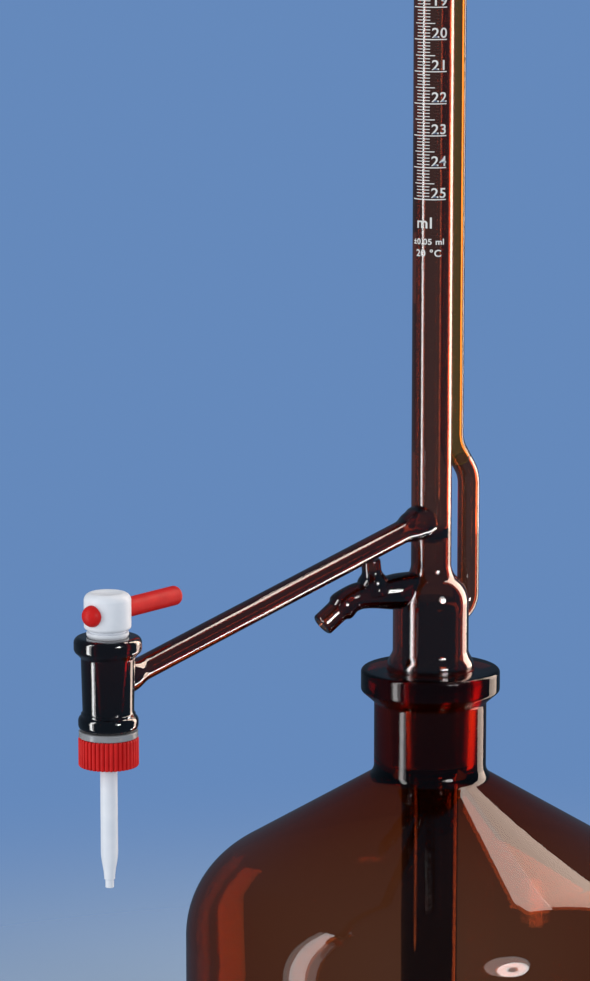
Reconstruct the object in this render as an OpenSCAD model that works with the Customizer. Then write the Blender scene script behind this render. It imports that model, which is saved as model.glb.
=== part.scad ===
// Automatic zero burette on its reservoir bottle.
// Millimetres, +Z up. The origin is the middle of the bottle's base on the bench.
// The side arm and its stopcock point to -X, and the riser stands on the +X side.

/* [Bottle] */
// Outer diameter of the bottle's body
bottle_d = 166; // [150:1:190]
// Height from the bench to the bottle's mouth
bottle_h = 185; // [170:1:240]
// Thickness of the bottle's glass
bottle_wall = 3; // [2:0.1:4.5]
// Slope of the conical shoulder, in degrees from level
shoulder_slope = 31; // [25:1:36]
// Radius of the bend between shoulder and wall
shoulder_round = 33; // [26:1:45]
// Radius round the foot of the wall
base_round = 12; // [8:0.5:16]
// How far the middle of the base is pushed up
push_up = 6; // [3:0.5:10]
// Width of the flat ring that the bottle stands on
foot_w = 8; // [4:0.5:14]
// Outer diameter of the neck
neck_d = 38; // [36:0.5:42]
// Height from the shoulder to the mouth
neck_h = 36; // [35:0.5:44]
// Radius of the fillet between neck and shoulder
neck_fillet = 5; // [3:0.5:8]
// Outer diameter of the collar round the mouth
collar_d = 47; // [44:0.5:54]
// Height of the collar's upright rim
collar_h = 8; // [6:0.2:10]
// Height of the slope under the collar
collar_slope_h = 4; // [3.4:0.2:7]
// Rounding of the collar's edges
collar_round = 1.3; // [0.8:0.1:2]

/* [Ground joint] */
// Largest diameter of the ground joint, at the mouth
joint_d = 29.2; // [28:0.1:30.5]
// Length of the ground joint
joint_len = 32; // [28:0.5:34]
// Length over which the joint loses 1 mm of diameter
joint_taper = 10; // [8:1:12]
// Gap between cone and socket
joint_gap = 0.05; // [0.02:0.01:0.1]
// Thickness of the cone's glass
cone_wall = 1.8; // [1.4:0.1:2.2]
// How far the cone stands out of the mouth
cone_proud = 1.5; // [1:0.1:3]

/* [Bell] */
// Outer diameter of the bell
bell_d = 25.6; // [24:0.1:27]
// Height of the bell's top above the mouth
bell_h = 34; // [32:0.5:42]
// Thickness of the bell's glass
bell_wall = 1.6; // [1.2:0.1:2]
// Height at which the bell's foot has drawn in to its diameter
bell_foot_h = 6.5; // [4:0.5:9]
// Radius of the bell's shoulder
bell_round = 7; // [6:0.2:8.5]

/* [Burette tube] */
// Outer diameter of the burette tube
tube_d = 13.6; // [13:0.1:14.4]
// Bore of the burette tube
tube_bore = 11; // [10:0.1:11.6]
// Volume that the scale spans, in ml
scale_volume = 25; // [10:1:30]
// Height of the lowest mark above the bottle's mouth
low_mark_up = 159.5; // [140:0.5:200]
// Thickness of the round floor of the bore
tube_floor = 1.4; // [1:0.1:2.5]

/* [Zero head] */
// Outer diameter of the overflow bulb
bulb_d = 22; // [19:0.5:28]
// Height of the overflow bulb
bulb_h = 46; // [40:1:60]
// Thickness of the bulb's glass
bulb_wall = 1.3; // [1:0.1:1.6]
// Radius of the bulb's shoulders
bulb_round = 6; // [5:0.5:7]
// Height of the bulb's foot above the zero mark
bulb_up = 10; // [6:1:20]
// Height of the riser's bend above the bulb
bend_up = 9; // [6:0.5:16]
// Length of the sleeve where the riser is sealed through the bulb
seal_h = 2; // [1:0.5:4]
// Diameter of the drawn tip at the zero mark
tip_d = 3; // [2.4:0.1:4]
// Bore of the drawn tip
tip_bore = 1.4; // [1:0.1:2]
// Length over which the tip is drawn out
tip_draw = 14; // [8:1:20]
// Height of the top vent above the bulb's foot
vent_up = 27; // [18:0.5:28]
// Outer diameter of the top vent
vent_d = 6; // [5:0.2:7]
// Bore of the top vent
vent_bore = 3.6; // [2.5:0.1:4.4]
// How far the top vent runs out before its bend
vent_out = 3; // [2:0.5:8]
// Radius of the top vent's bend
vent_bend = 7; // [5:0.5:10]
// Length of the top vent's straight end
vent_end = 10; // [9:0.5:16]

/* [Riser and dip tube] */
// Outer diameter of the riser
riser_d = 7.4; // [6:0.1:8]
// Bore of the riser
riser_bore = 5; // [3.5:0.1:5.4]
// Gap between riser and burette tube
riser_gap = 0.3; // [0.2:0.05:1]
// Distance of the riser's lower leg from the axis
riser_leg = 19.5; // [19.4:0.1:24]
// Height above the mouth at which the riser enters the bell
riser_entry_up = 17; // [15:0.5:18.5]
// Radius of the riser's foot bend
riser_foot_bend = 6.4; // [5.4:0.1:6.5]
// Radius of the bends in the riser's side steps
riser_step_bend = 10; // [7:0.5:12]
// Height above the mouth of the lower step's top
riser_step_up = 79; // [72:0.5:100]
// Outer diameter of the dip tube
dip_d = 19.2; // [15:0.1:19.6]
// Thickness of the dip tube's glass
dip_wall = 1.4; // [1:0.1:2]
// Rounding of the dip tube's closed top
dip_round = 3.5; // [2.5:0.1:4.5]
// Gap between the dip tube and the bottle's floor
dip_clear = 8; // [4:0.5:20]
// Diameter of the dip tube's drawn end
dip_end_d = 9; // [8:0.5:12]

/* [Side arm] */
// Outer diameter of the side arm
arm_d = 7.8; // [6.5:0.1:8.6]
// Bore of the side arm
arm_bore = 4.4; // [3:0.1:5]
// Distance from the burette's axis to the stopcock's axis
arm_reach = 155; // [125:1:190]
// Height above the mouth at which the arm meets the burette's axis
arm_root_up = 52; // [48:0.5:60]
// Height above the mouth at which the arm meets the stopcock's axis
arm_end_up = 20; // [18:0.5:24]
// Diameter of the arm's flared root
arm_root_d = 11.6; // [9:0.1:12.4]
// Diameter of the arm's flared end at the barrel
arm_end_d = 10; // [8.8:0.1:11]
// Length of each flare
arm_flare = 8; // [5:0.5:12]

/* [Hose olive] */
// Turn of the olive from the side arm, in degrees
olive_turn = 20; // [16:1:90]
// Height above the mouth of the olive's root
olive_up = 27.6; // [26.5:0.1:29]
// Diameter of the olive's root
olive_root_d = 12.4; // [10:0.1:13]
// Diameter of the olive's tube
olive_d = 9.2; // [8.6:0.1:10]
// Bore of the olive
olive_bore = 4.6; // [3:0.1:5.2]
// Distance from the axis at which the olive bends down
olive_reach = 26; // [25.8:0.2:34]
// Radius of the olive's bend
olive_bend = 12; // [10:0.5:20]
// Diameter of the bulge that holds the hose
olive_bulge_d = 10.4; // [10.2:0.1:12]
// Half the length of that bulge
olive_bulge = 1.6; // [1.2:0.1:2.5]
// Diameter of the straight hose end
olive_end_d = 8; // [7:0.1:8.4]
// Length of the straight hose end
olive_end = 7.5; // [7:0.5:14]
// Outer diameter of the vent stub
stub_d = 6.5; // [5.5:0.1:7]
// Bore of the vent stub
stub_bore = 3.4; // [2.4:0.1:4]
// Distance of the vent stub from the axis
stub_reach = 22; // [20.5:0.1:22.4]
// Lean of the vent stub away from the axis, in degrees
stub_lean = 6; // [0:1:10]
// Height of the stub's mouth above the olive's axis
stub_h = 12; // [10:0.5:13]

/* [Stopcock] */
// Height of the barrel
barrel_h = 29.7; // [27:0.1:34]
// Height of the barrel's foot above the mouth
barrel_foot_up = 6.3; // [4:0.1:8]
// Outer diameter of the barrel below its top bead
barrel_top_d = 17; // [16:0.1:18]
// Outer diameter of the barrel above its lower bead
barrel_low_d = 16; // [15:0.1:17]
// Diameter of the top bead
top_bead_d = 21.2; // [20:0.1:23]
// Height of the top bead
top_bead_h = 5.6; // [4:0.1:7]
// Diameter of the lower bead
low_bead_d = 18.8; // [18:0.1:20.5]
// Height of the lower bead
low_bead_h = 5; // [3.5:0.1:6]
// Rounding of the beads
bead_round = 1.8; // [1:0.1:2]
// Height over which a bead runs into the barrel
bead_step = 0.8; // [0.4:0.1:1.5]
// Largest diameter of the tapered key
key_d = 12.5; // [12:0.1:13]
// Length over which the key loses 1 mm of diameter
key_taper = 5; // [5:0.5:7]
// Gap between key and barrel
key_gap = 0.04; // [0.02:0.01:0.1]
// Diameter of the key's round head
head_d = 14.7; // [13.5:0.1:16]
// Height of the key's round head
head_h = 11.6; // [10.5:0.1:14]
// Rounding of the head's edges
head_round = 2.4; // [1:0.1:2.6]
// Diameter of the groove under the head
groove_d = 11.5; // [10:0.1:12]
// Height of the groove under the head
groove_h = 0.7; // [0.4:0.1:1.5]
// Diameter of the key's ring
ring_d = 13.2; // [12.8:0.1:14.5]
// Height of the key's ring
ring_h = 1.2; // [0.8:0.1:2]
// Gap between the ring and the barrel
ring_gap = 0.3; // [0.2:0.05:0.6]
// Diameter of the key's threaded end
thread_d = 6; // [5.4:0.1:6.2]
// How far the thread stands out of the nut
thread_proud = 0.5; // [0.2:0.1:1.5]
// Bore through the key
key_bore = 2.4; // [1.5:0.1:3]

/* [Handle] */
// Diameter of the lever
lever_d = 6.2; // [5:0.1:6.4]
// Diameter of the lever's domed end
lever_dome_d = 6.8; // [6.4:0.1:8]
// Turn of the lever from the line of the arm, in degrees
lever_turn = 4.5; // [-45:0.5:45]
// Reach of the lever from the stopcock's axis
lever_reach = 34; // [25:0.5:45]
// How far the lever's domed end stands out of the head
lever_proud = 3; // [2.2:0.1:3]
// Rounding of the lever's far end
lever_round = 1.6; // [1:0.1:2]
// Gap between the lever and its hole
lever_gap = 0.02; // [0.01:0.01:0.06]
// Height of the lever below the top of the head
lever_drop = 6.3; // [5.5:0.1:6.8]

/* [Nut and seals] */
// Outer diameter of the washer
washer_d = 18.6; // [16:0.1:19]
// Thickness of the washer
washer_h = 2.2; // [1.5:0.1:3]
// Rounding of the washer's edges
washer_round = 0.4; // [0.2:0.05:0.6]
// Outer diameter of the nut over its ribs
nut_d = 18.9; // [17.5:0.1:21]
// Height of the nut
nut_h = 9.2; // [8:0.1:12]
// Number of ribs round the nut
nut_ribs = 40; // [24:1:44]
// Width of one rib
rib_w = 1.1; // [0.8:0.05:1.3]
// Depth of the ribs
rib_depth = 0.7; // [0.4:0.05:0.9]
// Gap between nut and thread
nut_gap = 0.06; // [0.03:0.01:0.1]
// Thickness of the soft ring in the nut
o_ring_t = 1.8; // [1.4:0.1:2.2]
// Gap round the soft ring
o_ring_gap = 0.1; // [0.05:0.05:0.2]

/* [Jet] */
// Diameter of the jet
jet_d = 5.4; // [4.8:0.1:5.8]
// Length of the jet's straight part
jet_len = 29; // [15:0.5:40]
// Length over which the jet narrows
jet_draw = 7; // [4:0.5:12]
// Diameter of the jet where it has narrowed
jet_neck_d = 3.4; // [3:0.1:3.8]
// Diameter of the jet's stepped end
jet_end_d = 2.7; // [2.2:0.1:2.9]
// Length of the jet's stepped end
jet_end = 2.7; // [1.5:0.1:4]
// Bore of the jet
jet_bore = 1.4; // [0.8:0.1:1.6]
// Diameter of the jet's plug in the key
plug_d = 4; // [3.4:0.1:4.4]
// Length of the jet's plug in the key
plug_len = 6; // [4:0.5:8]
// Gap round the jet's plug
plug_gap = 0.03; // [0.01:0.01:0.06]

/* [Hidden] */
$fn = 96;

// Colours
brown_glass = [0.30, 0.14, 0.09];
dark_glass = [0.22, 0.11, 0.08];
amber_glass = [0.46, 0.28, 0.15];
white_plastic = [0.93, 0.94, 0.96];
red_plastic = [0.80, 0.10, 0.11];
grey_clear = [0.78, 0.80, 0.82];
black_rubber = [0.12, 0.12, 0.13];

// Steps in one arc of an outline, and how far a cutter runs past a face
arc_steps = 12;
past = 1;
// Points of an outline that lie closer than this are one point
same_point = 0.001;
// Seam left round a tube that is sealed through a wall
seam = 0.02;
// Angle through which a blown shoulder turns before its fillet takes over
blown_turn = 60;
// Angle of the slanting bends: 3 across to 4 along
slant = atan2(3, 4);

// Bottle
mouth_z = bottle_h;
bottle_r = bottle_d / 2;
neck_r = neck_d / 2;
collar_r = collar_d / 2;
shoulder_turn = 90 - shoulder_slope;
shoulder_r = bottle_r - shoulder_round * (1 - cos(shoulder_turn));
neck_foot_z = mouth_z - neck_h;
shoulder_z = neck_foot_z - (shoulder_r - neck_r) * tan(shoulder_slope)
             - shoulder_round * sin(shoulder_turn);
fillet_rise = neck_fillet * (1 - sin(shoulder_slope)) / cos(shoulder_slope);
foot_out = bottle_r - base_round;
foot_in = foot_out - foot_w;
floor_z = push_up + bottle_wall;

// Ground joint: radius of socket and cone at a height above the mouth
function socket_r(up) = joint_d / 2 + up / joint_taper / 2;
function cone_r(up) = socket_r(up) - joint_gap;
throat_r = socket_r(-joint_len);
// Where the inside of the shoulder meets the throat
inner_neck_z = neck_foot_z - bottle_wall / cos(shoulder_slope)
               + (neck_r - throat_r) * tan(shoulder_slope);

// Bell and burette tube
bell_r = bell_d / 2;
bell_foot_r = cone_r(cone_proud);
bell_foot_z = mouth_z + cone_proud;
bell_top_z = mouth_z + bell_h;
tube_r = tube_d / 2;

// Scale: length of one millilitre, the zero mark, and the bulb above it
ml_len = 1000 / (PI * pow(tube_bore / 2, 2));
zero_z = mouth_z + low_mark_up + scale_volume * ml_len;
bulb_r = bulb_d / 2;
bulb_z = zero_z + bulb_up;
bulb_top_z = bulb_z + bulb_h;
vent_z = bulb_z + vent_up;

// Riser: its distances from the axis
riser_r = riser_d / 2;
riser_near = tube_r + riser_gap + riser_r;
riser_far = bulb_r + riser_gap + riser_r;
// A side step: the radius of its bends, the slanting run between them, and its rise.
// The bends take this share of a short step, so that some run is left
bend_share = 0.9;
function step_radius(side) = min(riser_step_bend, bend_share * side / (2 * (1 - cos(slant))));
function step_run(side) = (side - 2 * step_radius(side) * (1 - cos(slant))) / sin(slant);
function step_rise(side) = 2 * step_radius(side) * sin(slant) + step_run(side) * cos(slant);
low_step = riser_leg - riser_near;
top_step = riser_far - riser_near;
riser_entry_z = mouth_z + riser_entry_up;
low_step_z = mouth_z + riser_step_up - step_rise(low_step);
top_step_z = bulb_z - step_rise(top_step);
seal_r = riser_r + seam;
bend_z = bulb_top_z + bend_up;

// Dip tube
dip_r = dip_d / 2;
dip_top_z = riser_entry_z + riser_r + dip_round;
dip_end_z = floor_z + dip_clear;

// Side arm, drawn along its own axis from the burette's axis to the stopcock's
arm_fall = arm_root_up - arm_end_up;
arm_len = sqrt(pow(arm_reach, 2) + pow(arm_fall, 2));
arm_tilt = atan2(arm_fall, arm_reach);
arm_root_z = mouth_z + arm_root_up;
// Middle of the rounded floor of the burette's bore, just under the arm
bore_end_z = arm_root_z - arm_bore / 2;

// Stopcock
barrel_z = mouth_z + barrel_foot_up;
barrel_top_z = barrel_z + barrel_h;
key_z = mouth_z + arm_end_up;
function barrel_bore_r(z) = (key_d - (barrel_top_z - z) / key_taper) / 2;
ring_z = barrel_top_z + ring_gap;
groove_z = ring_z + ring_h;
head_z = groove_z + groove_h;
head_top_z = head_z + head_h;
lever_z = head_top_z - lever_drop;
washer_z = barrel_z - washer_h;
nut_z = washer_z - nut_h;
nut_r = nut_d / 2;
thread_r = thread_d / 2;
thread_end_z = nut_z - thread_proud;
o_ring_mid_r = thread_r + o_ring_gap + o_ring_t / 2;
recess_r = o_ring_mid_r + o_ring_t / 2 + o_ring_gap;
recess_h = o_ring_t + 2 * o_ring_gap;

// Points of an arc, from angle a to angle b
function arc(cx, cy, r, a, b) =
    [for (i = [0 : arc_steps])
        let (t = a + (b - a) * i / arc_steps)
        [cx + r * cos(t), cy + r * sin(t)]];

// The same outline written from its end
function back(pts) = [for (i = [len(pts) - 1 : -1 : 0]) pts[i]];

// The same outline upside down below height z
function flipped(pts, z) = [for (p = back(pts)) [p[0], z - p[1]]];

// The outline without points that fall on the one before
function tidy(pts) =
    [for (i = [0 : len(pts) - 1])
        if (i == 0 || norm(pts[i] - pts[max(i - 1, 0)]) > same_point) pts[i]];

// A smooth change of radius from ra to rb between heights za and zb
function flare(ra, rb, za, zb) =
    [for (i = [0 : arc_steps])
        let (t = i / arc_steps)
        [ra + (rb - ra) * (1 - cos(180 * t)) / 2, za + (zb - za) * t]];

// A blown shoulder that rises from radius rb to radius ra, its top at height z,
// drawn at a depth below its outer face
function blown(rb, ra, round, z, depth) =
    let (turn = blown_turn,
         fillet = (rb - round - ra + round * cos(turn)) / (1 - cos(turn)),
         mid = z - (round + fillet) * sin(turn))
    concat(arc(rb - round, mid, round - depth, 0, turn),
           back(arc(ra + fillet, z, fillet + depth, 180, 180 + turn)));

module turned(pts) {
    rotate_extrude()
        polygon(tidy(pts));
}

// Ring-shaped section of a tube
module tube_section(d, bore) {
    difference() {
        circle(d = d);
        circle(d = bore);
    }
}

// Straight tube along +Z; what follows it starts at its end
module tube_run(length, d, bore) {
    linear_extrude(length)
        tube_section(d, bore);
    translate([0, 0, length])
        children();
}

// Tube bent from +Z towards +X; what follows it starts at its end
module tube_bend(radius, turn, d, bore) {
    translate([radius, 0, 0])
        rotate([90, 0, 180])
            rotate_extrude(angle = turn)
                translate([radius, 0])
                    tube_section(d, bore);
    translate([radius, 0, 0])
        rotate([0, turn, 0])
            translate([-radius, 0, 0])
                children();
}

// Two opposite bends that carry the rising riser towards +X;
// what follows has its +X turned back
module side_step(side) {
    tube_bend(step_radius(side), slant, riser_d, riser_bore)
        tube_run(step_run(side), riser_d, riser_bore)
            rotate([0, 0, 180])
                tube_bend(step_radius(side), slant, riser_d, riser_bore)
                    children();
}

// Frame whose +Z points to -X and whose +X points down
module outward() {
    rotate([0, -90, 0])
        rotate([0, 0, 180])
            children();
}

// Frame along the side arm: +Z runs from the burette's axis to the stopcock's
module along_arm() {
    translate([0, 0, arm_root_z])
        rotate([0, -90 - arm_tilt, 0])
            children();
}

// Frame along the olive's root: +Z runs outwards, +X points down
module along_olive() {
    rotate([0, 0, -olive_turn])
        translate([0, 0, mouth_z + olive_up])
            outward()
                children();
}

// Frame along the vent stub: +Z runs up from the olive's axis
module along_stub() {
    along_olive()
        translate([0, 0, stub_reach])
            rotate([0, stub_lean - 90, 0])
                children();
}

// Frame on the stopcock's axis
module at_stopcock() {
    translate([-arm_reach, 0, 0])
        children();
}

// The key's own frame, turned with its lever
module at_key() {
    at_stopcock()
        rotate(lever_turn)
            children();
}

// Outline of the bottle's outside, from the middle of the base to the collar's top
function bottle_outside() = concat(
    [[0, push_up], [foot_in, 0]],
    arc(foot_out, base_round, base_round, -90, 0),
    arc(bottle_r - shoulder_round, shoulder_z, shoulder_round, 0, shoulder_turn),
    back(arc(neck_r + neck_fillet, neck_foot_z + fillet_rise, neck_fillet, 180, 180 + shoulder_turn)),
    [[neck_r, mouth_z - collar_h - collar_slope_h]],
    arc(collar_r - collar_round, mouth_z - collar_h + collar_round, collar_round, -45, 0),
    arc(collar_r - collar_round, mouth_z - collar_round, collar_round, 0, 90));

// Outline of its inside, from the mouth down to the middle of the floor
function bottle_inside() = concat(
    [[socket_r(0), mouth_z], [throat_r, mouth_z - joint_len], [throat_r, inner_neck_z]],
    back(arc(bottle_r - shoulder_round, shoulder_z, shoulder_round - bottle_wall, 0, shoulder_turn)),
    back(arc(foot_out, base_round, base_round - bottle_wall, -90, 0)),
    [[foot_in, bottle_wall], [0, floor_z]]);

module reservoir_bottle() {
    color(brown_glass)
        turned(concat(bottle_outside(), bottle_inside()));
}

module ground_cone() {
    color(dark_glass)
        translate([0, 0, mouth_z])
            turned([[cone_r(-joint_len), -joint_len], [cone_r(cone_proud), cone_proud],
                    [cone_r(cone_proud) - cone_wall, cone_proud],
                    [cone_r(-joint_len) - cone_wall, -joint_len]]);
}

// Outline of the bell at a depth below its outer face, from its foot to its top
function bell_outline(depth) = concat(
    flare(bell_foot_r - depth, bell_r - depth, bell_foot_z, mouth_z + bell_foot_h),
    blown(bell_r, tube_r, bell_round, bell_top_z, depth));

// The bell and the foot of the tube with no hollow, which trim what joins them
module bell_form() {
    above_z = bell_top_z + olive_root_d;
    turned(concat([[0, bell_foot_z]], bell_outline(0), [[tube_r, above_z], [0, above_z]]));
}

module joint_bell() {
    color(dark_glass)
        difference() {
            turned(concat(bell_outline(0), back(bell_outline(bell_wall))));
            translate([0, 0, riser_entry_z])
                rotate([0, 90, 0])
                    cylinder(r = seal_r, h = bell_d);
            along_olive()
                cylinder(d = olive_bore, h = olive_reach);
        }
}

module dip_tube() {
    inner_r = dip_r - dip_wall;
    end_r = dip_end_d / 2;
    // The drawn end narrows over one tube radius
    draw_z = dip_end_z + dip_r;
    cap_z = dip_top_z - dip_round;
    cap_r = dip_r - dip_round;
    color(dark_glass)
        difference() {
            turned(concat(
                [[end_r - dip_wall, dip_end_z], [end_r, dip_end_z], [dip_r, draw_z]],
                arc(cap_r, cap_z, dip_round, 0, 90),
                [[0, dip_top_z], [0, dip_top_z - dip_wall]],
                back(arc(cap_r, cap_z, dip_round - dip_wall, 0, 90)),
                [[inner_r, draw_z]]));
            translate([0, 0, riser_entry_z])
                rotate([0, 90, 0])
                    cylinder(d = riser_bore, h = dip_d);
        }
}

module burette_tube() {
    color(dark_glass)
        difference() {
            translate([0, 0, bell_top_z])
                cylinder(r = tube_r, h = bulb_z - bell_top_z);
            // The bore, with its rounded floor
            translate([0, 0, bore_end_z])
                cylinder(d = tube_bore, h = bulb_z);
            translate([0, 0, bore_end_z])
                sphere(d = tube_bore);
            // The hollow foot that opens into the bell, up to the floor
            difference() {
                translate([0, 0, bell_top_z - past])
                    cylinder(r = tube_r - bell_wall, h = bore_end_z - bell_top_z + past);
                translate([0, 0, bore_end_z])
                    sphere(d = tube_bore + 2 * tube_floor);
            }
            along_arm()
                cylinder(d = arm_bore, h = tube_d);
        }
}

module riser_tube() {
    leg_z = riser_entry_z + riser_foot_bend;
    step_top_z = mouth_z + riser_step_up;
    color(amber_glass)
        difference() {
            translate([0, 0, riser_entry_z])
                rotate([0, 90, 0])
                    rotate([0, 0, 180])
                        tube_run(riser_leg - riser_foot_bend, riser_d, riser_bore)
                            tube_bend(riser_foot_bend, 90, riser_d, riser_bore)
                                tube_run(low_step_z - leg_z, riser_d, riser_bore)
                                    side_step(low_step)
                                        tube_run(top_step_z - step_top_z, riser_d, riser_bore);
            cylinder(r = dip_r, h = dip_top_z);
        }
}

module overflow_bend() {
    color(amber_glass)
        translate([riser_near, 0, top_step_z])
            side_step(top_step)
                tube_run(bend_z - bulb_z, riser_d, riser_bore)
                    tube_bend(riser_far / 2, 180, riser_d, riser_bore)
                        tube_run(bend_z - bulb_top_z - seal_h, riser_d, riser_bore);
}

// Outline of the bulb at a depth below its outer face, from its foot to its top
function bulb_outline(depth) = concat(
    flipped(blown(bulb_r, tube_r, bulb_round, 0, depth), bulb_z),
    blown(bulb_r, seal_r + bulb_wall, bulb_round, bulb_top_z - seal_h, depth),
    [[seal_r + bulb_wall - depth, bulb_top_z]]);

module zero_bulb() {
    color(dark_glass)
        difference() {
            turned(concat(bulb_outline(0), back(bulb_outline(bulb_wall))));
            translate([0, 0, vent_z])
                outward()
                    cylinder(d = vent_bore, h = bulb_d);
        }
}

module zero_tip() {
    draw_z = zero_z + tip_draw;
    top_z = bulb_top_z + seal_h;
    color(amber_glass)
        turned(concat(
            flare(tip_d / 2, riser_r, zero_z, draw_z),
            [[riser_r, top_z], [riser_bore / 2, top_z]],
            back(flare(tip_bore / 2, riser_bore / 2, zero_z, draw_z))));
}

module top_vent() {
    color(amber_glass)
        difference() {
            translate([0, 0, vent_z])
                outward()
                    tube_run(bulb_r + vent_out, vent_d, vent_bore)
                        tube_bend(vent_bend, slant, vent_d, vent_bore)
                            tube_run(vent_end, vent_d, vent_bore);
            translate([0, 0, bulb_z])
                cylinder(r = bulb_r, h = bulb_h);
        }
}

// Outline of the barrel's outside, from its foot to its top
function barrel_outline() =
    let (top_r = top_bead_d / 2 - bead_round, low_r = low_bead_d / 2 - bead_round)
    concat(
        arc(low_r, barrel_z + bead_round, bead_round, -90, 0),
        arc(low_r, barrel_z + low_bead_h - bead_round, bead_round, 0, 90),
        [[barrel_low_d / 2, barrel_z + low_bead_h + bead_step],
         [barrel_top_d / 2, barrel_top_z - top_bead_h - bead_step]],
        arc(top_r, barrel_top_z - top_bead_h + bead_round, bead_round, -90, 0),
        arc(top_r, barrel_top_z - bead_round, bead_round, 0, 90));

// The barrel with no bore, which trims the arm
module barrel_form() {
    at_stopcock()
        turned(concat([[0, barrel_z]], barrel_outline(), [[0, barrel_top_z]]));
}

module stopcock_barrel() {
    color(dark_glass)
        difference() {
            at_stopcock()
                turned(concat(
                    [[barrel_bore_r(barrel_z), barrel_z]],
                    barrel_outline(),
                    [[barrel_bore_r(barrel_top_z), barrel_top_z]]));
            along_arm()
                translate([0, 0, arm_len - top_bead_d])
                    cylinder(d = arm_bore, h = top_bead_d);
        }
}

module side_arm() {
    root = tube_r;
    end = arm_len - barrel_top_d / 2;
    arm_r = arm_d / 2;
    color(dark_glass)
        difference() {
            along_arm()
                turned(concat(
                    [[arm_bore / 2, 0], [arm_root_d / 2, 0]],
                    flare(arm_root_d / 2, arm_r, root, root + arm_flare),
                    flare(arm_r, arm_end_d / 2, end - arm_flare, end),
                    [[arm_end_d / 2, arm_len], [arm_bore / 2, arm_len]]));
            translate([0, 0, bell_top_z])
                cylinder(r = tube_r, h = bulb_z - bell_top_z);
            barrel_form();
        }
}

// The olive's root with no bore, which trims the stub
module olive_root_form() {
    root_r = olive_root_d / 2;
    along_olive()
        turned(concat(
            [[0, 0], [root_r, 0]],
            flare(root_r, olive_d / 2, bell_r - bell_wall, olive_reach),
            [[0, olive_reach]]));
}

module hose_olive() {
    olive_r = olive_d / 2;
    bulge_r = olive_bulge_d / 2;
    end_r = olive_end_d / 2;
    hose_z = 2 * olive_bulge;
    color(dark_glass)
        difference() {
            union() {
                difference() {
                    olive_root_form();
                    along_olive()
                        translate([0, 0, -past])
                            cylinder(d = olive_bore, h = olive_reach + 2 * past);
                }
                along_olive()
                    translate([0, 0, olive_reach])
                        tube_bend(olive_bend, slant, olive_d, olive_bore)
                            turned(concat(
                                [[olive_bore / 2, 0]],
                                flare(olive_r, bulge_r, 0, olive_bulge),
                                flare(bulge_r, end_r, olive_bulge, hose_z),
                                [[end_r, hose_z + olive_end], [olive_bore / 2, hose_z + olive_end]]));
            }
            bell_form();
            along_stub()
                cylinder(d = stub_bore, h = stub_h);
        }
}

module vent_stub() {
    color(dark_glass)
        difference() {
            along_stub()
                tube_run(stub_h, stub_d, stub_bore);
            olive_root_form();
        }
}

module stopcock_key() {
    head_r = head_d / 2;
    low_r = barrel_bore_r(barrel_z) - key_gap;
    top_r = barrel_bore_r(barrel_top_z) - key_gap;
    color(white_plastic)
        at_key()
            difference() {
                turned(concat(
                    [[0, thread_end_z], [thread_r, thread_end_z], [thread_r, barrel_z], [low_r, barrel_z],
                     [top_r, barrel_top_z], [top_r, ring_z], [ring_d / 2, ring_z],
                     [ring_d / 2, groove_z], [groove_d / 2, groove_z], [groove_d / 2, head_z]],
                    arc(head_r - head_round / 2, head_z + head_round / 2, head_round / 2, -90, 0),
                    arc(head_r - head_round, head_top_z - head_round, head_round, 0, 90),
                    [[0, head_top_z]]));
                // The lever's hole through the head
                translate([-head_d, 0, lever_z])
                    rotate([0, 90, 0])
                        cylinder(d = lever_d + 2 * lever_gap, h = 2 * head_d);
                // The way in from the arm, and the way down to the jet
                translate([0, 0, key_z])
                    rotate([0, 90, 0])
                        cylinder(d = key_bore, h = key_d);
                translate([0, 0, thread_end_z - past])
                    cylinder(d = key_bore, h = key_z - thread_end_z + past);
                translate([0, 0, thread_end_z - past])
                    cylinder(d = plug_d + 2 * plug_gap, h = plug_len + plug_gap + past);
            }
}

module handle_lever() {
    lever_r = lever_d / 2;
    head_r = head_d / 2;
    dome_r = lever_dome_d / 2;
    seat = -head_r - lever_gap;
    dome = [for (p = arc(0, 0, 1, -90, 0)) [dome_r * p[0], lever_proud * p[1] + seat]];
    color(red_plastic)
        at_key()
            translate([0, 0, lever_z])
                rotate([0, 90, 0])
                    turned(concat(
                        dome,
                        [[lever_r, seat]],
                        arc(lever_r - lever_round, lever_reach - lever_round, lever_round, 0, 90),
                        [[0, lever_reach]]));
}

module jet_tip() {
    jet_r = jet_d / 2;
    end_r = jet_end_d / 2;
    plug_r = plug_d / 2;
    draw_z = thread_end_z - jet_len;
    neck_z = draw_z - jet_draw;
    tip_z = neck_z - jet_end;
    plug_z = thread_end_z + plug_len;
    color(white_plastic)
        at_stopcock()
            difference() {
                turned([[0, tip_z], [end_r, tip_z], [end_r, neck_z], [jet_neck_d / 2, neck_z],
                        [jet_r, draw_z], [jet_r, thread_end_z], [plug_r, thread_end_z],
                        [plug_r, plug_z], [0, plug_z]]);
                translate([0, 0, tip_z - past])
                    cylinder(d = jet_bore, h = plug_z - tip_z + 2 * past);
            }
}

module sealing_washer() {
    outer_r = washer_d / 2 - washer_round;
    inner_r = thread_r + o_ring_gap;
    color(grey_clear)
        at_stopcock()
            turned(concat(
                [[inner_r, washer_z]],
                arc(outer_r, washer_z + washer_round, washer_round, -90, 0),
                arc(outer_r, barrel_z - washer_round, washer_round, 0, 90),
                [[inner_r, barrel_z]]));
}

module o_ring() {
    color(black_rubber)
        at_stopcock()
            translate([0, 0, washer_z - o_ring_gap - o_ring_t / 2])
                rotate_extrude()
                    translate([o_ring_mid_r, 0])
                        circle(d = o_ring_t);
}

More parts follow.
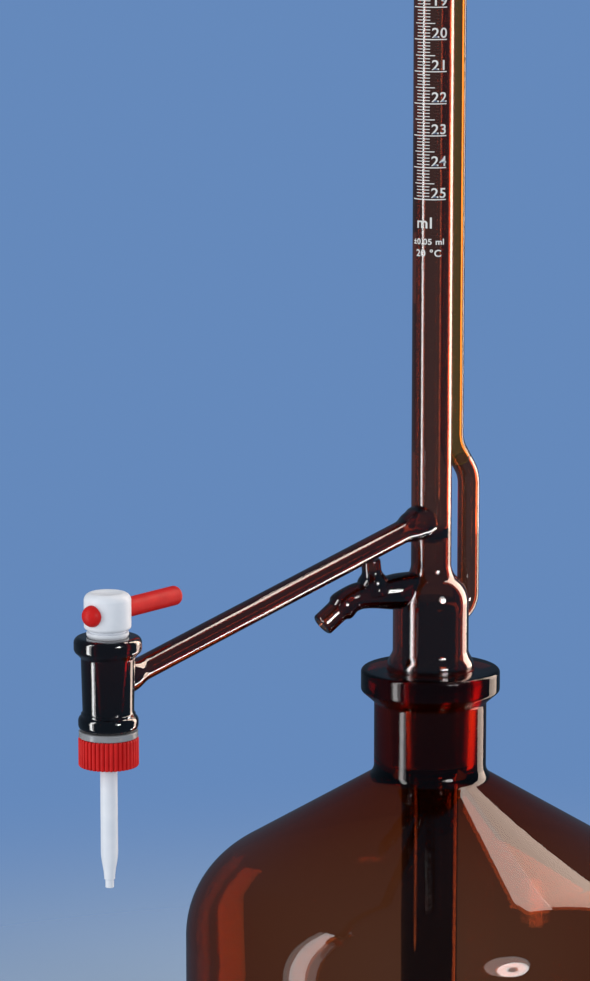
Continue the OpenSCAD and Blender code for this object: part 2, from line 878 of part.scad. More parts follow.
module retaining_nut() {
    chamfer = rib_depth;
    color(red_plastic)
        at_stopcock()
            translate([0, 0, nut_z])
                difference() {
                    intersection() {
                        linear_extrude(nut_h)
                            union() {
                                circle(r = nut_r - rib_depth);
                                for (i = [0 : nut_ribs - 1])
                                    rotate(i * 360 / nut_ribs)
                                        translate([nut_r - rib_w / 2, 0])
                                            circle(d = rib_w, $fn = 24);
                            }
                        turned([[0, 0], [nut_r - chamfer, 0], [nut_r, chamfer], [nut_r, nut_h - chamfer],
                                [nut_r - chamfer, nut_h], [0, nut_h]]);
                    }
                    translate([0, 0, -past])
                        cylinder(r = thread_r + nut_gap, h = nut_h + 2 * past);
                    translate([0, 0, nut_h - recess_h])
                        cylinder(r = recess_r, h = recess_h + past);
                }
}

reservoir_bottle();
ground_cone();
joint_bell();
dip_tube();
burette_tube();
riser_tube();
overflow_bend();
zero_bulb();
zero_tip();
top_vent();
side_arm();
stopcock_barrel();
hose_olive();
vent_stub();
stopcock_key();
handle_lever();
jet_tip();
sealing_washer();
o_ring();
retaining_nut();
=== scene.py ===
# %% [markdown]
# # An automatic zero burette in brown glass
#
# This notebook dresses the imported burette. The CAD model says how big every piece is and how it
# moves; here each piece gets the smooth glass, the white scale and the plastic finish that the
# real one has. Heights and radii in the outlines are millimetres, as a glassblower would write
# them, and the value MM turns them into Blender's metres.

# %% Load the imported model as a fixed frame
import math

import bmesh
import bpy
from mathutils import Matrix, Vector


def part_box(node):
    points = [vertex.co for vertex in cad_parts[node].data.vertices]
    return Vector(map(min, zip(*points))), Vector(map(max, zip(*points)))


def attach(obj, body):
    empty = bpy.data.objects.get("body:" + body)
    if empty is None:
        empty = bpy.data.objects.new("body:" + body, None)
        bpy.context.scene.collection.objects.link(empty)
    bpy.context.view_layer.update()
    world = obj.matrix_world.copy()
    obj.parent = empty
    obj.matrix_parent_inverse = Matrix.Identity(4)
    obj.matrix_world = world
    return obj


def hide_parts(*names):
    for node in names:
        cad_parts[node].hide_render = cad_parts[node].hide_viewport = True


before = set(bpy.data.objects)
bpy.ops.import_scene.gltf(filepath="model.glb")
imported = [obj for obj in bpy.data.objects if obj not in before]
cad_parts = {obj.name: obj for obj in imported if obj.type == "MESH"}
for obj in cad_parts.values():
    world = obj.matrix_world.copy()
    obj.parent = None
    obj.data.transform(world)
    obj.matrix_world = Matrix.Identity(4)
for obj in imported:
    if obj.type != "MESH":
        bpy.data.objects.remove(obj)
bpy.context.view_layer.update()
MM = 0.001


# %% [markdown]
# ## The camera
#
# The picture was taken with a long lens from a little above, so upright tubes hardly lean. The
# lens is given as its focal length in pixels, because that is what can be measured in a picture.
# Blender wants millimetres on a 36 mm film, laid along the longer side of the frame.

# %% Camera at the photograph's viewing angle
picture_size = (590, 981)
focal_pixels = 4200
film_width = 36
camera_down = math.radians(10.3)
camera_place = Vector((-1.0604, -0.8932, 0.4977))
away = Vector((0.743, 0.669, 0)).normalized()
picture_right = Vector((away.y, -away.x, 0))

camera = bpy.data.objects.new("camera", bpy.data.cameras.new("camera"))
camera.data.sensor_width = film_width
camera.data.lens = focal_pixels * film_width / max(picture_size)
camera.location = camera_place
looking = away * math.cos(camera_down) - Vector((0, 0, math.sin(camera_down)))
camera.rotation_euler = looking.to_track_quat("-Z", "Y").to_euler()
bpy.context.scene.collection.objects.link(camera)
bpy.context.scene.camera = camera
bpy.context.scene.view_settings.view_transform = "Standard"
print("lens", round(camera.data.lens, 1), "mm")


# %% [markdown]
# ## Soft studio light
#
# Glass shows its lamps, so they are placed for their reflections. A tall box on the left, with a
# brighter core, draws the thin white line down every tube. Behind on the right a tall warm box in two
# parts, with a third box high over them, lights the edges from inside and lies as a pale patch on the
# bottle's shoulder. A strip on the floor draws the line under the arm, and a round lamp with a dark
# middle, set in a larger and dimmer one, makes the small spots. Each lamp is set by its angle round
# the burette, counted from the camera, as a photographer would do it. A lamp could also be seen
# straight through the glass, as a hard bright shape, so a small rule hides it there and keeps it in
# reflections.

# %% Lamp helpers
mirror_weight = 20


def only_mirrored(lamp):
    """Lets glass mirror a lamp, inside and out, but not show it straight through its walls."""
    lamp.use_nodes = True
    nodes, links = lamp.node_tree.nodes, lamp.node_tree.links
    rays = nodes.new("ShaderNodeLightPath")
    straight = nodes.new("ShaderNodeMath")
    straight.operation = "MULTIPLY_ADD"
    straight.use_clamp = True
    straight.inputs[1].default_value = -mirror_weight
    shown = nodes.new("ShaderNodeMath")
    shown.operation = "SUBTRACT"
    shown.inputs[0].default_value = 1
    links.new(rays.outputs["Glossy Depth"], straight.inputs[0])
    links.new(rays.outputs["Transmission Depth"], straight.inputs[2])
    links.new(straight.outputs[0], shown.inputs[1])
    links.new(shown.outputs[0], nodes["Emission"].inputs["Strength"])


def studio_lamp(name, turn, height, distance, size, watts, aim_height, round_lamp=False):
    """A soft lamp: turn is in degrees from the camera, to the picture's right when positive."""
    angle = math.radians(turn)
    spot = (picture_right * math.sin(angle) - away * math.cos(angle)) * distance
    lamp = bpy.data.lights.new(name, "AREA")
    lamp.shape = "DISK" if round_lamp else "RECTANGLE"
    lamp.size, lamp.size_y = size
    lamp.energy = watts
    only_mirrored(lamp)
    box = bpy.data.objects.new(name, lamp)
    box.location = (spot.x, spot.y, height)
    facing = Vector((0, 0, aim_height)) - box.location
    box.rotation_euler = facing.to_track_quat("-Z", "Y").to_euler()
    box.visible_camera = False
    bpy.context.scene.collection.objects.link(box)
    return box


def ring_face(lamp, hole):
    """Darkens the middle of a round lamp, softly; hole is a share of the lamp's width."""
    lamp_middle = (0.5, 0.5, 0)
    dark_to, bright_from = hole * 0.4, hole * 0.6
    nodes, links = lamp.node_tree.nodes, lamp.node_tree.links
    place = nodes.new("ShaderNodeNewGeometry")
    reach = nodes.new("ShaderNodeVectorMath")
    reach.operation = "DISTANCE"
    reach.inputs[1].default_value = lamp_middle
    ring = nodes.new("ShaderNodeMapRange")
    ring.interpolation_type = "SMOOTHSTEP"
    ring.inputs["From Min"].default_value = dark_to
    ring.inputs["From Max"].default_value = bright_from
    links.new(place.outputs["Parametric"], reach.inputs[0])
    links.new(reach.outputs["Value"], ring.inputs["Value"])
    links.new(ring.outputs["Result"], nodes["Emission"].inputs["Color"])


print("a mirrored bounce outweighs", mirror_weight, "walls")

# %% Lamps
studio_lamp("left_box", -60, 0.33, 0.66, (0.19, 0.90), 0.86, 0.33)
studio_lamp("left_core", -61, 0.33, 0.65, (0.09, 0.90), 1.2, 0.33)
back_box = studio_lamp("back_box", 125, 0.69, 0.80, (0.38, 1.22), 7.6, 0.69)
low_back = studio_lamp("low_back", 125, -0.21, 0.80, (0.38, 0.58), 2.1, -0.21)
top_box = studio_lamp("top_box", 127, 2.18, 1.20, (0.90, 0.35), 5.1, 0.20)
back_warmth, top_warmth = (1, 0.78, 0.64), (1, 0.86, 0.76)
back_box.data.color = back_warmth
low_back.data.color = back_warmth
top_box.data.color = top_warmth
strip_place, facing_up = (0.29, -0.19, 0.004), (math.pi, 0, 0)
low_strip = studio_lamp("low_strip", 0, 0.004, 0, (0.36, 0.08), 0.63, 1)
low_strip.location = strip_place
low_strip.rotation_euler = facing_up
low_strip.visible_diffuse = False
low_strip.visible_transmission = False
spot_lamp = studio_lamp("round_lamp", 37.9, 0.737, 2.0, (0.545, 0.545), 9.1, 0.12, round_lamp=True)
ring_face(spot_lamp.data, hole=0.34)
studio_lamp("round_shade", 35.9, 0.911, 2.04, (0.82, 0.82), 4.5, 0.12, round_lamp=True)


# %% [markdown]
# ## Background and floor
#
# Brown glass looks dark when what stands behind it is cool and not too bright, so the room is a
# middling blue. The camera, and rays that pass through glass, see that colour. Reflections get a dim
# cool colour of their own, which keeps the edges of the glass dark, and everything else gets an even
# light from all round. The floor is a disc that fades out, so it keeps the shadow and has no edge. It
# is left out of reflections, and of what is seen through glass, where it would be a pale band.

# %% Room
room_colour = (0.13, 0.25, 0.50, 1)
mirrored_colour = (0.045, 0.065, 0.095, 1)
fill_colour, fill_strength = (0.88, 0.94, 1, 1), 0.57

world = bpy.data.worlds.new("room")
bpy.context.scene.world = world
world.use_nodes = True
nodes, links = world.node_tree.nodes, world.node_tree.links
nodes.clear()
rays = nodes.new("ShaderNodeLightPath")
seen = nodes.new("ShaderNodeMath")
seen.operation = "MAXIMUM"
links.new(rays.outputs["Is Camera Ray"], seen.inputs[0])
links.new(rays.outputs["Is Transmission Ray"], seen.inputs[1])
fill_light = nodes.new("ShaderNodeBackground")
fill_light.inputs["Color"].default_value = fill_colour
fill_light.inputs["Strength"].default_value = fill_strength
mirrored = nodes.new("ShaderNodeBackground")
mirrored.inputs["Color"].default_value = mirrored_colour
fill_mix = nodes.new("ShaderNodeMixShader")
links.new(rays.outputs["Is Glossy Ray"], fill_mix.inputs["Fac"])
links.new(fill_light.outputs[0], fill_mix.inputs[1])
links.new(mirrored.outputs[0], fill_mix.inputs[2])
backdrop = nodes.new("ShaderNodeBackground")
backdrop.inputs["Color"].default_value = room_colour
room_mix = nodes.new("ShaderNodeMixShader")
room_out = nodes.new("ShaderNodeOutputWorld")
links.new(seen.outputs[0], room_mix.inputs["Fac"])
links.new(fill_mix.outputs[0], room_mix.inputs[1])
links.new(backdrop.outputs[0], room_mix.inputs[2])
links.new(room_mix.outputs[0], room_out.inputs["Surface"])
print("room seen as", room_colour[:3], "and filled at", fill_strength)

# %% Floor
floor_colour = (0.33, 0.43, 0.55, 1)
floor_radius, fade_start = 0.64, 0.05

bpy.ops.mesh.primitive_circle_add(vertices=96, radius=floor_radius, fill_type="NGON")
floor = bpy.context.object
floor.name = "floor"
floor.visible_glossy = False
floor.visible_transmission = False
floor_paint = bpy.data.materials.new("floor_paint")
floor_paint.use_nodes = True
nodes, links = floor_paint.node_tree.nodes, floor_paint.node_tree.links
nodes.clear()
place = nodes.new("ShaderNodeTexCoord")
distance = nodes.new("ShaderNodeVectorMath")
distance.operation = "LENGTH"
fade = nodes.new("ShaderNodeMapRange")
fade.interpolation_type = "SMOOTHERSTEP"
fade.inputs["From Min"].default_value = fade_start
fade.inputs["From Max"].default_value = floor_radius
paint = nodes.new("ShaderNodeBsdfDiffuse")
paint.inputs["Color"].default_value = floor_colour
gone = nodes.new("ShaderNodeBsdfTransparent")
floor_mix = nodes.new("ShaderNodeMixShader")
floor_out = nodes.new("ShaderNodeOutputMaterial")
links.new(place.outputs["Object"], distance.inputs[0])
links.new(distance.outputs["Value"], fade.inputs["Value"])
links.new(fade.outputs["Result"], floor_mix.inputs["Fac"])
links.new(paint.outputs[0], floor_mix.inputs[1])
links.new(gone.outputs[0], floor_mix.inputs[2])
links.new(floor_mix.outputs[0], floor_out.inputs["Surface"])
floor.data.materials.append(floor_paint)
print("floor radius", floor_radius, "m")


# %% [markdown]
# ## Brown glass
#
# Coloured glass gets darker the further light runs through it, which a tinted surface can't show.
# So the surface is clear and the colour sits in a Volume Absorption node: thick rims go nearly
# black and thin edges glow red. Drawn tube is never perfectly even, and a noise stretched along
# the height gives the faint draw lines. A second noise makes it a little less polished in places. A
# coat stands for the extra gloss of glass that was worked in a flame, and faces that are marked as
# ground, on the cone and its socket, come out matt.

# %% Glass material
glass_ior, gloss_ior = 1.473, 1.8
ripple_depth, ground_roughness = 0.0004, 0.16
smear_size, smear_range = 34, (0.45, 0.75)


def brown_glass(name, passes, density, draw=(60, 60, 4), ripple=0.025,
                polish=(0.0, 0.02), flame_gloss=1.0):
    """Clear surface over coloured glass; passes is the colour that the glass lets through."""
    glass = bpy.data.materials.new(name)
    glass.use_nodes = True
    nodes, links = glass.node_tree.nodes, glass.node_tree.links
    surface = nodes["Principled BSDF"]
    surface.inputs["Base Color"].default_value = (1, 1, 1, 1)
    surface.inputs["Transmission Weight"].default_value = 1
    surface.inputs["IOR"].default_value = glass_ior
    surface.inputs["Coat Weight"].default_value = flame_gloss
    surface.inputs["Coat Roughness"].default_value = 0
    surface.inputs["Coat IOR"].default_value = gloss_ior
    where = nodes.new("ShaderNodeTexCoord")
    stretch = nodes.new("ShaderNodeMapping")
    stretch.inputs["Scale"].default_value = draw
    lines = nodes.new("ShaderNodeTexNoise")
    lines.inputs["Scale"].default_value = 1
    lines.inputs["Detail"].default_value = 0
    wave = nodes.new("ShaderNodeBump")
    wave.inputs["Strength"].default_value = ripple
    wave.inputs["Distance"].default_value = ripple_depth
    smear = nodes.new("ShaderNodeTexNoise")
    smear.inputs["Scale"].default_value = smear_size
    smear.inputs["Detail"].default_value = 5
    rough = nodes.new("ShaderNodeMapRange")
    rough.inputs["From Min"].default_value = smear_range[0]
    rough.inputs["From Max"].default_value = smear_range[1]
    rough.inputs["To Min"].default_value = polish[0]
    rough.inputs["To Max"].default_value = polish[1]
    ground = nodes.new("ShaderNodeAttribute")
    ground.attribute_name = "ground"
    matt = nodes.new("ShaderNodeMath")
    matt.operation = "MULTIPLY_ADD"
    matt.inputs[1].default_value = ground_roughness
    colour = nodes.new("ShaderNodeVolumeAbsorption")
    colour.inputs["Color"].default_value = (*passes, 1)
    colour.inputs["Density"].default_value = density
    links.new(where.outputs["Object"], stretch.inputs["Vector"])
    links.new(stretch.outputs["Vector"], lines.inputs["Vector"])
    links.new(lines.outputs["Fac"], wave.inputs["Height"])
    links.new(wave.outputs["Normal"], surface.inputs["Normal"])
    links.new(where.outputs["Object"], smear.inputs["Vector"])
    links.new(smear.outputs["Fac"], rough.inputs["Value"])
    links.new(ground.outputs["Fac"], matt.inputs[0])
    links.new(rough.outputs["Result"], matt.inputs[2])
    links.new(matt.outputs[0], surface.inputs["Roughness"])
    links.new(colour.outputs["Volume"], nodes["Material Output"].inputs["Volume"])
    return glass


bottle_glass = brown_glass("bottle_glass", (0.86, 0.52, 0.23), 800, draw=(14, 14, 9), ripple=0.12,
                           polish=(0.0, 0.006), flame_gloss=0)
tube_glass = brown_glass("tube_glass", (0.75, 0.36, 0.085), 1600)
riser_glass = brown_glass("riser_glass", (0.84, 0.555, 0.10), 1500, flame_gloss=0)
dip_glass = brown_glass("dip_glass", (0.47, 0.28, 0.13), 2400, flame_gloss=0)
print("glass:", [m.name for m in (bottle_glass, tube_glass, riser_glass, dip_glass)])


# %% [markdown]
# ## Plastics and enamel
#
# The key and jet are turned from a white waxy plastic, so fine rings run round them. The lever
# and the nut are moulded in red and have a slight cloudiness and an even fine grain. The washer is a
# cloudy clear plastic, and the soft ring is black rubber. The scale is white enamel, printed and
# fired, a little uneven. One helper makes them all: a colour that wanders between two shades, a grain
# for the bump and a roughness that follows the grain.

# %% Plastic material
plastic_ior, cloud_size, cloud_range = 1.46, 160, (0.35, 0.65)
ring_pitch, ring_wander, relief_depth = 900, 0.6, 0.0001


def moulded(name, light, dark, rough, grain, bump, rings=0.0, sheen=0.5):
    """Two close shades, a fine grain and, on turned pieces, rings round the upright axis."""
    plastic = bpy.data.materials.new(name)
    plastic.use_nodes = True
    nodes, links = plastic.node_tree.nodes, plastic.node_tree.links
    surface = nodes["Principled BSDF"]
    surface.inputs["IOR"].default_value = plastic_ior
    surface.inputs["Specular IOR Level"].default_value = sheen
    where = nodes.new("ShaderNodeTexCoord")
    cloud = nodes.new("ShaderNodeTexNoise")
    cloud.inputs["Scale"].default_value = cloud_size
    cloud.inputs["Detail"].default_value = 4
    shade = nodes.new("ShaderNodeValToRGB")
    for stop, position, tone in zip(shade.color_ramp.elements, cloud_range, (dark, light)):
        stop.position = position
        stop.color = (*tone, 1)
    speck = nodes.new("ShaderNodeTexNoise")
    speck.inputs["Scale"].default_value = grain
    speck.inputs["Detail"].default_value = 2
    gloss = nodes.new("ShaderNodeMapRange")
    gloss.inputs["To Min"].default_value = rough[0]
    gloss.inputs["To Max"].default_value = rough[1]
    turned = nodes.new("ShaderNodeTexWave")
    turned.bands_direction = "Z"
    turned.inputs["Scale"].default_value = ring_pitch
    turned.inputs["Distortion"].default_value = ring_wander
    height = nodes.new("ShaderNodeMix")
    height.inputs["Factor"].default_value = rings
    relief = nodes.new("ShaderNodeBump")
    relief.inputs["Strength"].default_value = bump
    relief.inputs["Distance"].default_value = relief_depth
    links.new(where.outputs["Object"], cloud.inputs["Vector"])
    links.new(where.outputs["Object"], speck.inputs["Vector"])
    links.new(where.outputs["Object"], turned.inputs["Vector"])
    links.new(cloud.outputs["Fac"], shade.inputs["Fac"])
    links.new(shade.outputs["Color"], surface.inputs["Base Color"])
    links.new(speck.outputs["Fac"], gloss.inputs["Value"])
    links.new(gloss.outputs["Result"], surface.inputs["Roughness"])
    links.new(speck.outputs["Fac"], height.inputs["A"])
    links.new(turned.outputs["Fac"], height.inputs["B"])
    links.new(height.outputs["Result"], relief.inputs["Height"])
    links.new(relief.outputs["Normal"], surface.inputs["Normal"])
    return plastic


white_plastic = moulded("white_plastic", (0.76, 0.78, 0.83), (0.70, 0.73, 0.79), (0.36, 0.50),
                        900, 0.25, rings=0.6, sheen=0.4)
red_plastic = moulded("red_plastic", (0.62, 0.012, 0.011), (0.53, 0.008, 0.008), (0.36, 0.50),
                      1400, 0.2, sheen=0.22)
clear_plastic = moulded("clear_plastic", (0.50, 0.51, 0.53), (0.42, 0.43, 0.45), (0.14, 0.26),
                        700, 0.2)
clear_surface = clear_plastic.node_tree.nodes["Principled BSDF"]
clear_surface.inputs["Transmission Weight"].default_value = 0.45
black_rubber = moulded("black_rubber", (0.022, 0.022, 0.024), (0.014, 0.014, 0.015), (0.55, 0.7),
                       1200, 0.4)
white_enamel = moulded("white_enamel", (0.78, 0.78, 0.76), (0.68, 0.68, 0.66), (0.40, 0.60),
                       2500, 0.3)
plastics = (white_plastic, red_plastic, clear_plastic, black_rubber, white_enamel)
print("plastics:", [plastic.name for plastic in plastics])


# %% [markdown]
# ## Turning an outline
#
# Nearly everything here is round, so the main tool is a lathe: an outline of radius and height is
# turned round the upright axis. An outline that starts and ends on the axis closes by itself, and
# any other is joined end to start, as for a ring. Arcs and eased flares are worked out with plenty
# of points, because glass shows every flat. Long straight runs get points in between as well: a face
# as long as the tube would carry the slant of one bad corner, as a false line, all the way up.

# %% Outlines
def arc(middle_r, middle_z, radius, start, end, steps=20):
    """Points of an arc, between two angles in degrees."""
    turns = [math.radians(start + (end - start) * i / steps) for i in range(steps + 1)]
    return [(middle_r + radius * math.cos(t), middle_z + radius * math.sin(t)) for t in turns]


def ease(t):
    return (1 - math.cos(math.pi * t)) / 2


def flare(r_start, r_end, z_start, z_end, steps=16):
    """A smooth change of radius between two heights."""
    return [(r_start + (r_end - r_start) * ease(i / steps), z_start + (z_end - z_start) * i / steps)
            for i in range(steps + 1)]


def filled(outline, longest=6):
    """Adds points on long straight runs, so shading stays even where other glass is melted on."""
    points = [outline[0]]
    for (r0, z0), (r1, z1) in zip(outline, outline[1:]):
        steps = max(1, math.ceil(math.hypot(r1 - r0, z1 - z0) / longest))
        points += [(r0 + (r1 - r0) * i / steps, z0 + (z1 - z0) * i / steps)
                   for i in range(1, steps + 1)]
    return points


print("points in a quarter round:", len(arc(0, 0, 1, 0, 90)))

# %% Lathe
crease = math.radians(38)
weld, on_axis = 1e-7, 1e-4


def shaded(name, mesh_tool):
    """The mesh as a smooth object, sharp only where faces meet at more than the crease angle."""
    bmesh.ops.remove_doubles(mesh_tool, verts=mesh_tool.verts, dist=weld)
    bmesh.ops.recalc_face_normals(mesh_tool, faces=mesh_tool.faces)
    mesh = bpy.data.meshes.new(name)
    mesh_tool.to_mesh(mesh)
    mesh_tool.free()
    mesh.shade_smooth()
    mesh.set_sharp_from_angle(angle=crease)
    piece = bpy.data.objects.new(name, mesh)
    bpy.context.scene.collection.objects.link(piece)
    return piece


def skin(mesh_tool, rings, joined):
    """Faces between neighbouring rings of points; a ring of one point is a tip on the axis."""
    pairs = list(zip(rings, rings[1:])) + ([(rings[-1], rings[0])] if joined else [])
    for low, high in pairs:
        around = max(len(low), len(high))
        for i in range(around):
            j = (i + 1) % around
            below = [low[i % len(low)], low[j % len(low)]]
            above = [high[j % len(high)], high[i % len(high)]]
            corners = list(dict.fromkeys(below + above))
            if len(corners) > 2:
                mesh_tool.faces.new(corners)


def lathe(name, outline, sides=144, ribs=None):
    """Turns an outline in millimetres; ribs(radius, height, angle) may change a radius on the way."""
    mesh_tool = bmesh.new()
    rings = []
    for radius, height in outline:
        if radius < on_axis:
            rings.append([mesh_tool.verts.new((0, 0, height * MM))])
            continue
        ring = []
        for i in range(sides):
            angle = 2 * math.pi * i / sides
            reach = (ribs(radius, height, angle) if ribs else radius) * MM
            place = (reach * math.cos(angle), reach * math.sin(angle), height * MM)
            ring.append(mesh_tool.verts.new(place))
        rings.append(ring)
    skin(mesh_tool, rings, joined=len(rings[0]) > 1)
    return shaded(name, mesh_tool)


def finished(piece, body, slot, finish, *nodes):
    """Gives a piece its finish, lets it ride on its body and stand for its CAD nodes."""
    piece.data.materials.clear()
    piece.data.materials.append(finish)
    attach(piece, body)
    if nodes:
        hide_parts(*nodes)
    print(piece.name, "faces", len(piece.data.polygons), "for", ", ".join(nodes))
    return piece


print("edges stay sharp from", round(math.degrees(crease)), "degrees")


# %% [markdown]
# ## The reservoir bottle
#
# A squat bottle blown in a mould: a pushed-up base, straight wall, a conical shoulder and a thick
# neck with a flat collar. One outline runs up the outside, over the mouth and down the inside, so
# the wall has its real thickness and bends light as glass does. The ground socket in the neck is
# the stretch where the cone sits.

# %% Sizes of the bottle
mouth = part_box("reservoir_bottle")[1].z / MM
bottle_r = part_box("reservoir_bottle")[1].x / MM
wall = 3
neck_r, neck_foot = 19, mouth - 36
shoulder_round, shoulder_slope = 33, math.radians(31)
shoulder_mid_r = bottle_r - shoulder_round
bend_r = shoulder_mid_r + shoulder_round * math.sin(shoulder_slope)
bend_z = neck_foot - (bend_r - neck_r) * math.tan(shoulder_slope)
shoulder_mid_z = bend_z - shoulder_round * math.cos(shoulder_slope)
heel, foot_in, push_up, base_steps = 12, bottle_r - 20, 6, 12
neck_fillet, under_collar = 5, 1.5
fillet_mid = neck_foot + neck_fillet * (1 - math.sin(shoulder_slope)) / math.cos(shoulder_slope)
collar_r, collar_h, collar_slope, collar_edge = 23.5, 8, 4, 1.3
socket_top, socket_depth, throat, throat_foot, lip = 14.6, 32, 13.0, mouth - 37, 0.5
upturn = 90 - math.degrees(shoulder_slope)
print("bottle", round(bottle_r * 2), "mm wide,", round(mouth), "mm high")

# %% Bottle
def pushed_up(steps):
    """Points of the pushed-up base, by steps from its middle out."""
    return [(foot_in * i / base_steps, push_up * (1 - (i / base_steps) ** 2)) for i in steps]


outside = (
    pushed_up(range(base_steps + 1))
    + arc(bottle_r - heel, heel, heel, -90, 0)
    + arc(shoulder_mid_r, shoulder_mid_z, shoulder_round, 0, upturn, 48)
    + arc(neck_r + neck_fillet, fillet_mid, neck_fillet, 180 + upturn, 180, 16)
    + [(neck_r, mouth - collar_h - collar_slope - 1)]
    + arc(neck_r + under_collar, mouth - collar_h - collar_slope + 0.1, under_collar, 180, 138, 6)
    + arc(collar_r - collar_edge, mouth - collar_h + collar_edge, collar_edge, -45, 0, 10)
    + arc(collar_r - collar_edge, mouth - collar_edge, collar_edge, 0, 90, 12)
)
inside = (
    arc(socket_top + lip, mouth - lip, lip, 90, 180, 6)
    + [(throat, mouth - socket_depth), (throat, throat_foot)]
    + arc(shoulder_mid_r, shoulder_mid_z, shoulder_round - wall, upturn, 0, 48)
    + arc(bottle_r - heel, heel, heel - wall, 0, -90)
    + [(r, wall + z) for r, z in pushed_up(range(base_steps, -1, -1))]
)
bottle = lathe("bottle", outside + inside, sides=256)


def grind(piece, test):
    """Marks the faces that are ground matt; the glass material reads the mark."""
    mark = piece.data.attributes.new("ground", "FLOAT", "FACE")
    for face in piece.data.polygons:
        mark.data[face.index].value = test(face.center.xy.length / MM, face.center.z / MM)


grind(bottle, lambda r, z: r < socket_top + 0.1 and z > mouth - socket_depth)
finished(bottle, "bottle", "bottle_glass", bottle_glass, "reservoir_bottle")


# %% [markdown]
# ## Bent tube
#
# The riser, the arm and the hose end are tubes bent in a flame. A path of corners is rounded into
# arcs, points are set evenly along it, and a ring is carried from point to point without twisting.
# The radius may change on the way, for a flare, a bulge or a drawn tip.

# %% Path of a bend
def bent_path(corners, bends, spacing=1.2):
    """Points, in millimetres, along straight runs joined by arcs of the given radii."""
    corners = [Vector(c) for c in corners]
    points = [corners[0]]
    for before, corner, after, radius in zip(corners, corners[1:], corners[2:], bends):
        back, on = (before - corner).normalized(), (after - corner).normalized()
        half = back.angle(on) / 2
        middle = corner + (back + on).normalized() * radius / math.sin(half)
        start = corner + back * radius / math.tan(half) - middle
        turn = math.pi - 2 * half
        axis = start.cross(corner + on * radius / math.tan(half) - middle)
        steps = max(6, round(turn * radius / spacing))
        points += [middle + Matrix.Rotation(turn * i / steps, 3, axis) @ start
                   for i in range(steps + 1)]
    points.append(corners[-1])
    even = [points[0]]
    for a, b in zip(points, points[1:]):
        steps = max(1, round((b - a).length / (spacing * 2)))
        even += [a.lerp(b, i / steps) for i in range(1, steps + 1) if (b - a).length > 1e-6]
    return even


test_bend = bent_path([(0, 0, 0), (20, 0, 0), (20, 20, 0)], [8])
print("points in a bend of 8 mm:", len(test_bend))

# %% Tube along a path
def eased_keys(keys):
    """A radius along a path: it eases between (distance, radius) pairs."""
    def at(distance):
        for (s0, r0), (s1, r1) in zip(keys, keys[1:]):
            if distance <= s1:
                return r0 + (r1 - r0) * ease(max(0, distance - s0) / (s1 - s0))
        return keys[-1][1]
    return at


def sweep(name, path, outer, bore=None, sides=64, rim=0.5):
    """A rod along a path or, with a bore, a tube. Its ends are rounded by the rim."""
    run = [0]
    for a, b in zip(path, path[1:]):
        run.append(run[-1] + (b - a).length)
    total = run[-1]
    heading = [(b - a).normalized() for a, b in zip(path, path[1:])]
    between = [(a + b).normalized() for a, b in zip(heading, heading[1:])]
    heading = [heading[0]] + between + [heading[-1]]
    side = heading[0].orthogonal().normalized()
    mesh_tool = bmesh.new()
    shell, lining = [], []

    def ring(point, across, up, radius):
        turns = [2 * math.pi * i / sides for i in range(sides)]
        spokes = [across * math.cos(t) + up * math.sin(t) for t in turns]
        return [mesh_tool.verts.new((point + spoke * radius) * MM) for spoke in spokes]

    for point, ahead, s in zip(path, heading, run):
        side = (side - ahead * side.dot(ahead)).normalized()
        up = ahead.cross(side)
        from_end = min(s, total - s, rim) / rim
        pinch = rim * (1 - math.sqrt(max(0, 1 - (1 - from_end) ** 2)))
        shell.append(ring(point, side, up, outer(s) - pinch))
        if bore:
            lining.append(ring(point, side, up, bore(s)))
    if bore:
        skin(mesh_tool, shell + lining[::-1], joined=True)
    else:
        mesh_tool.faces.new(shell[0])
        mesh_tool.faces.new(shell[-1])
        skin(mesh_tool, shell, joined=False)
    return shaded(name, mesh_tool)


def with_ends(path, rim=0.5):
    """Adds close points at both ends of a path, so that a rim can be rounded there."""
    near = [rim * share for share in (0.12, 0.35, 0.7, 1.0)]
    first, last = (path[1] - path[0]).normalized(), (path[-2] - path[-1]).normalized()
    start = [path[0]] + [path[0] + first * d for d in near]
    end = [path[-1] + last * d for d in near[::-1]] + [path[-1]]
    return start + path[1:-1] + end


print("rims are rounded by", with_ends(test_bend)[4].x, "mm")


# %% [markdown]
# ## Joining glass
#
# A glassblower melts the parts of the burette into one piece. Blender's boolean does the same with
# closed meshes: first all the solid outsides are joined, then all the bores are taken out, so no
# wall is left inside where two tubes meet.

# %% Melting and boring
def melted(piece, others, operation):
    """Joins closed meshes to the piece, or bores them out of it, and removes them."""
    for other in others:
        change = piece.modifiers.new("melt", "BOOLEAN")
        change.solver = "MANIFOLD"
        change.operation = operation
        change.object = other
    view = bpy.context.evaluated_depsgraph_get()
    mesh = bpy.data.meshes.new_from_object(piece.evaluated_get(view))
    piece.modifiers.clear()
    piece.data = mesh
    mesh.shade_smooth()
    mesh.set_sharp_from_angle(angle=crease)
    for other in others:
        bpy.data.objects.remove(other)
    return piece


def moved(piece, matrix):
    piece.data.transform(matrix)
    return piece


print("helpers made:", melted.__name__, "and", moved.__name__)


# %% [markdown]
# ## The burette: cone, bell, tube and bulb
#
# The upright part is one turned outline. The ground cone widens into a bell, the bell's blown
# shoulder runs into the graduated tube, and the tube opens into the overflow bulb at the top. The
# bell's shoulder is an arc that passes into an opposite arc, so it has no corner. It leans less than
# the bulb's and runs a little way up the tube, because the real one is drawn out there.

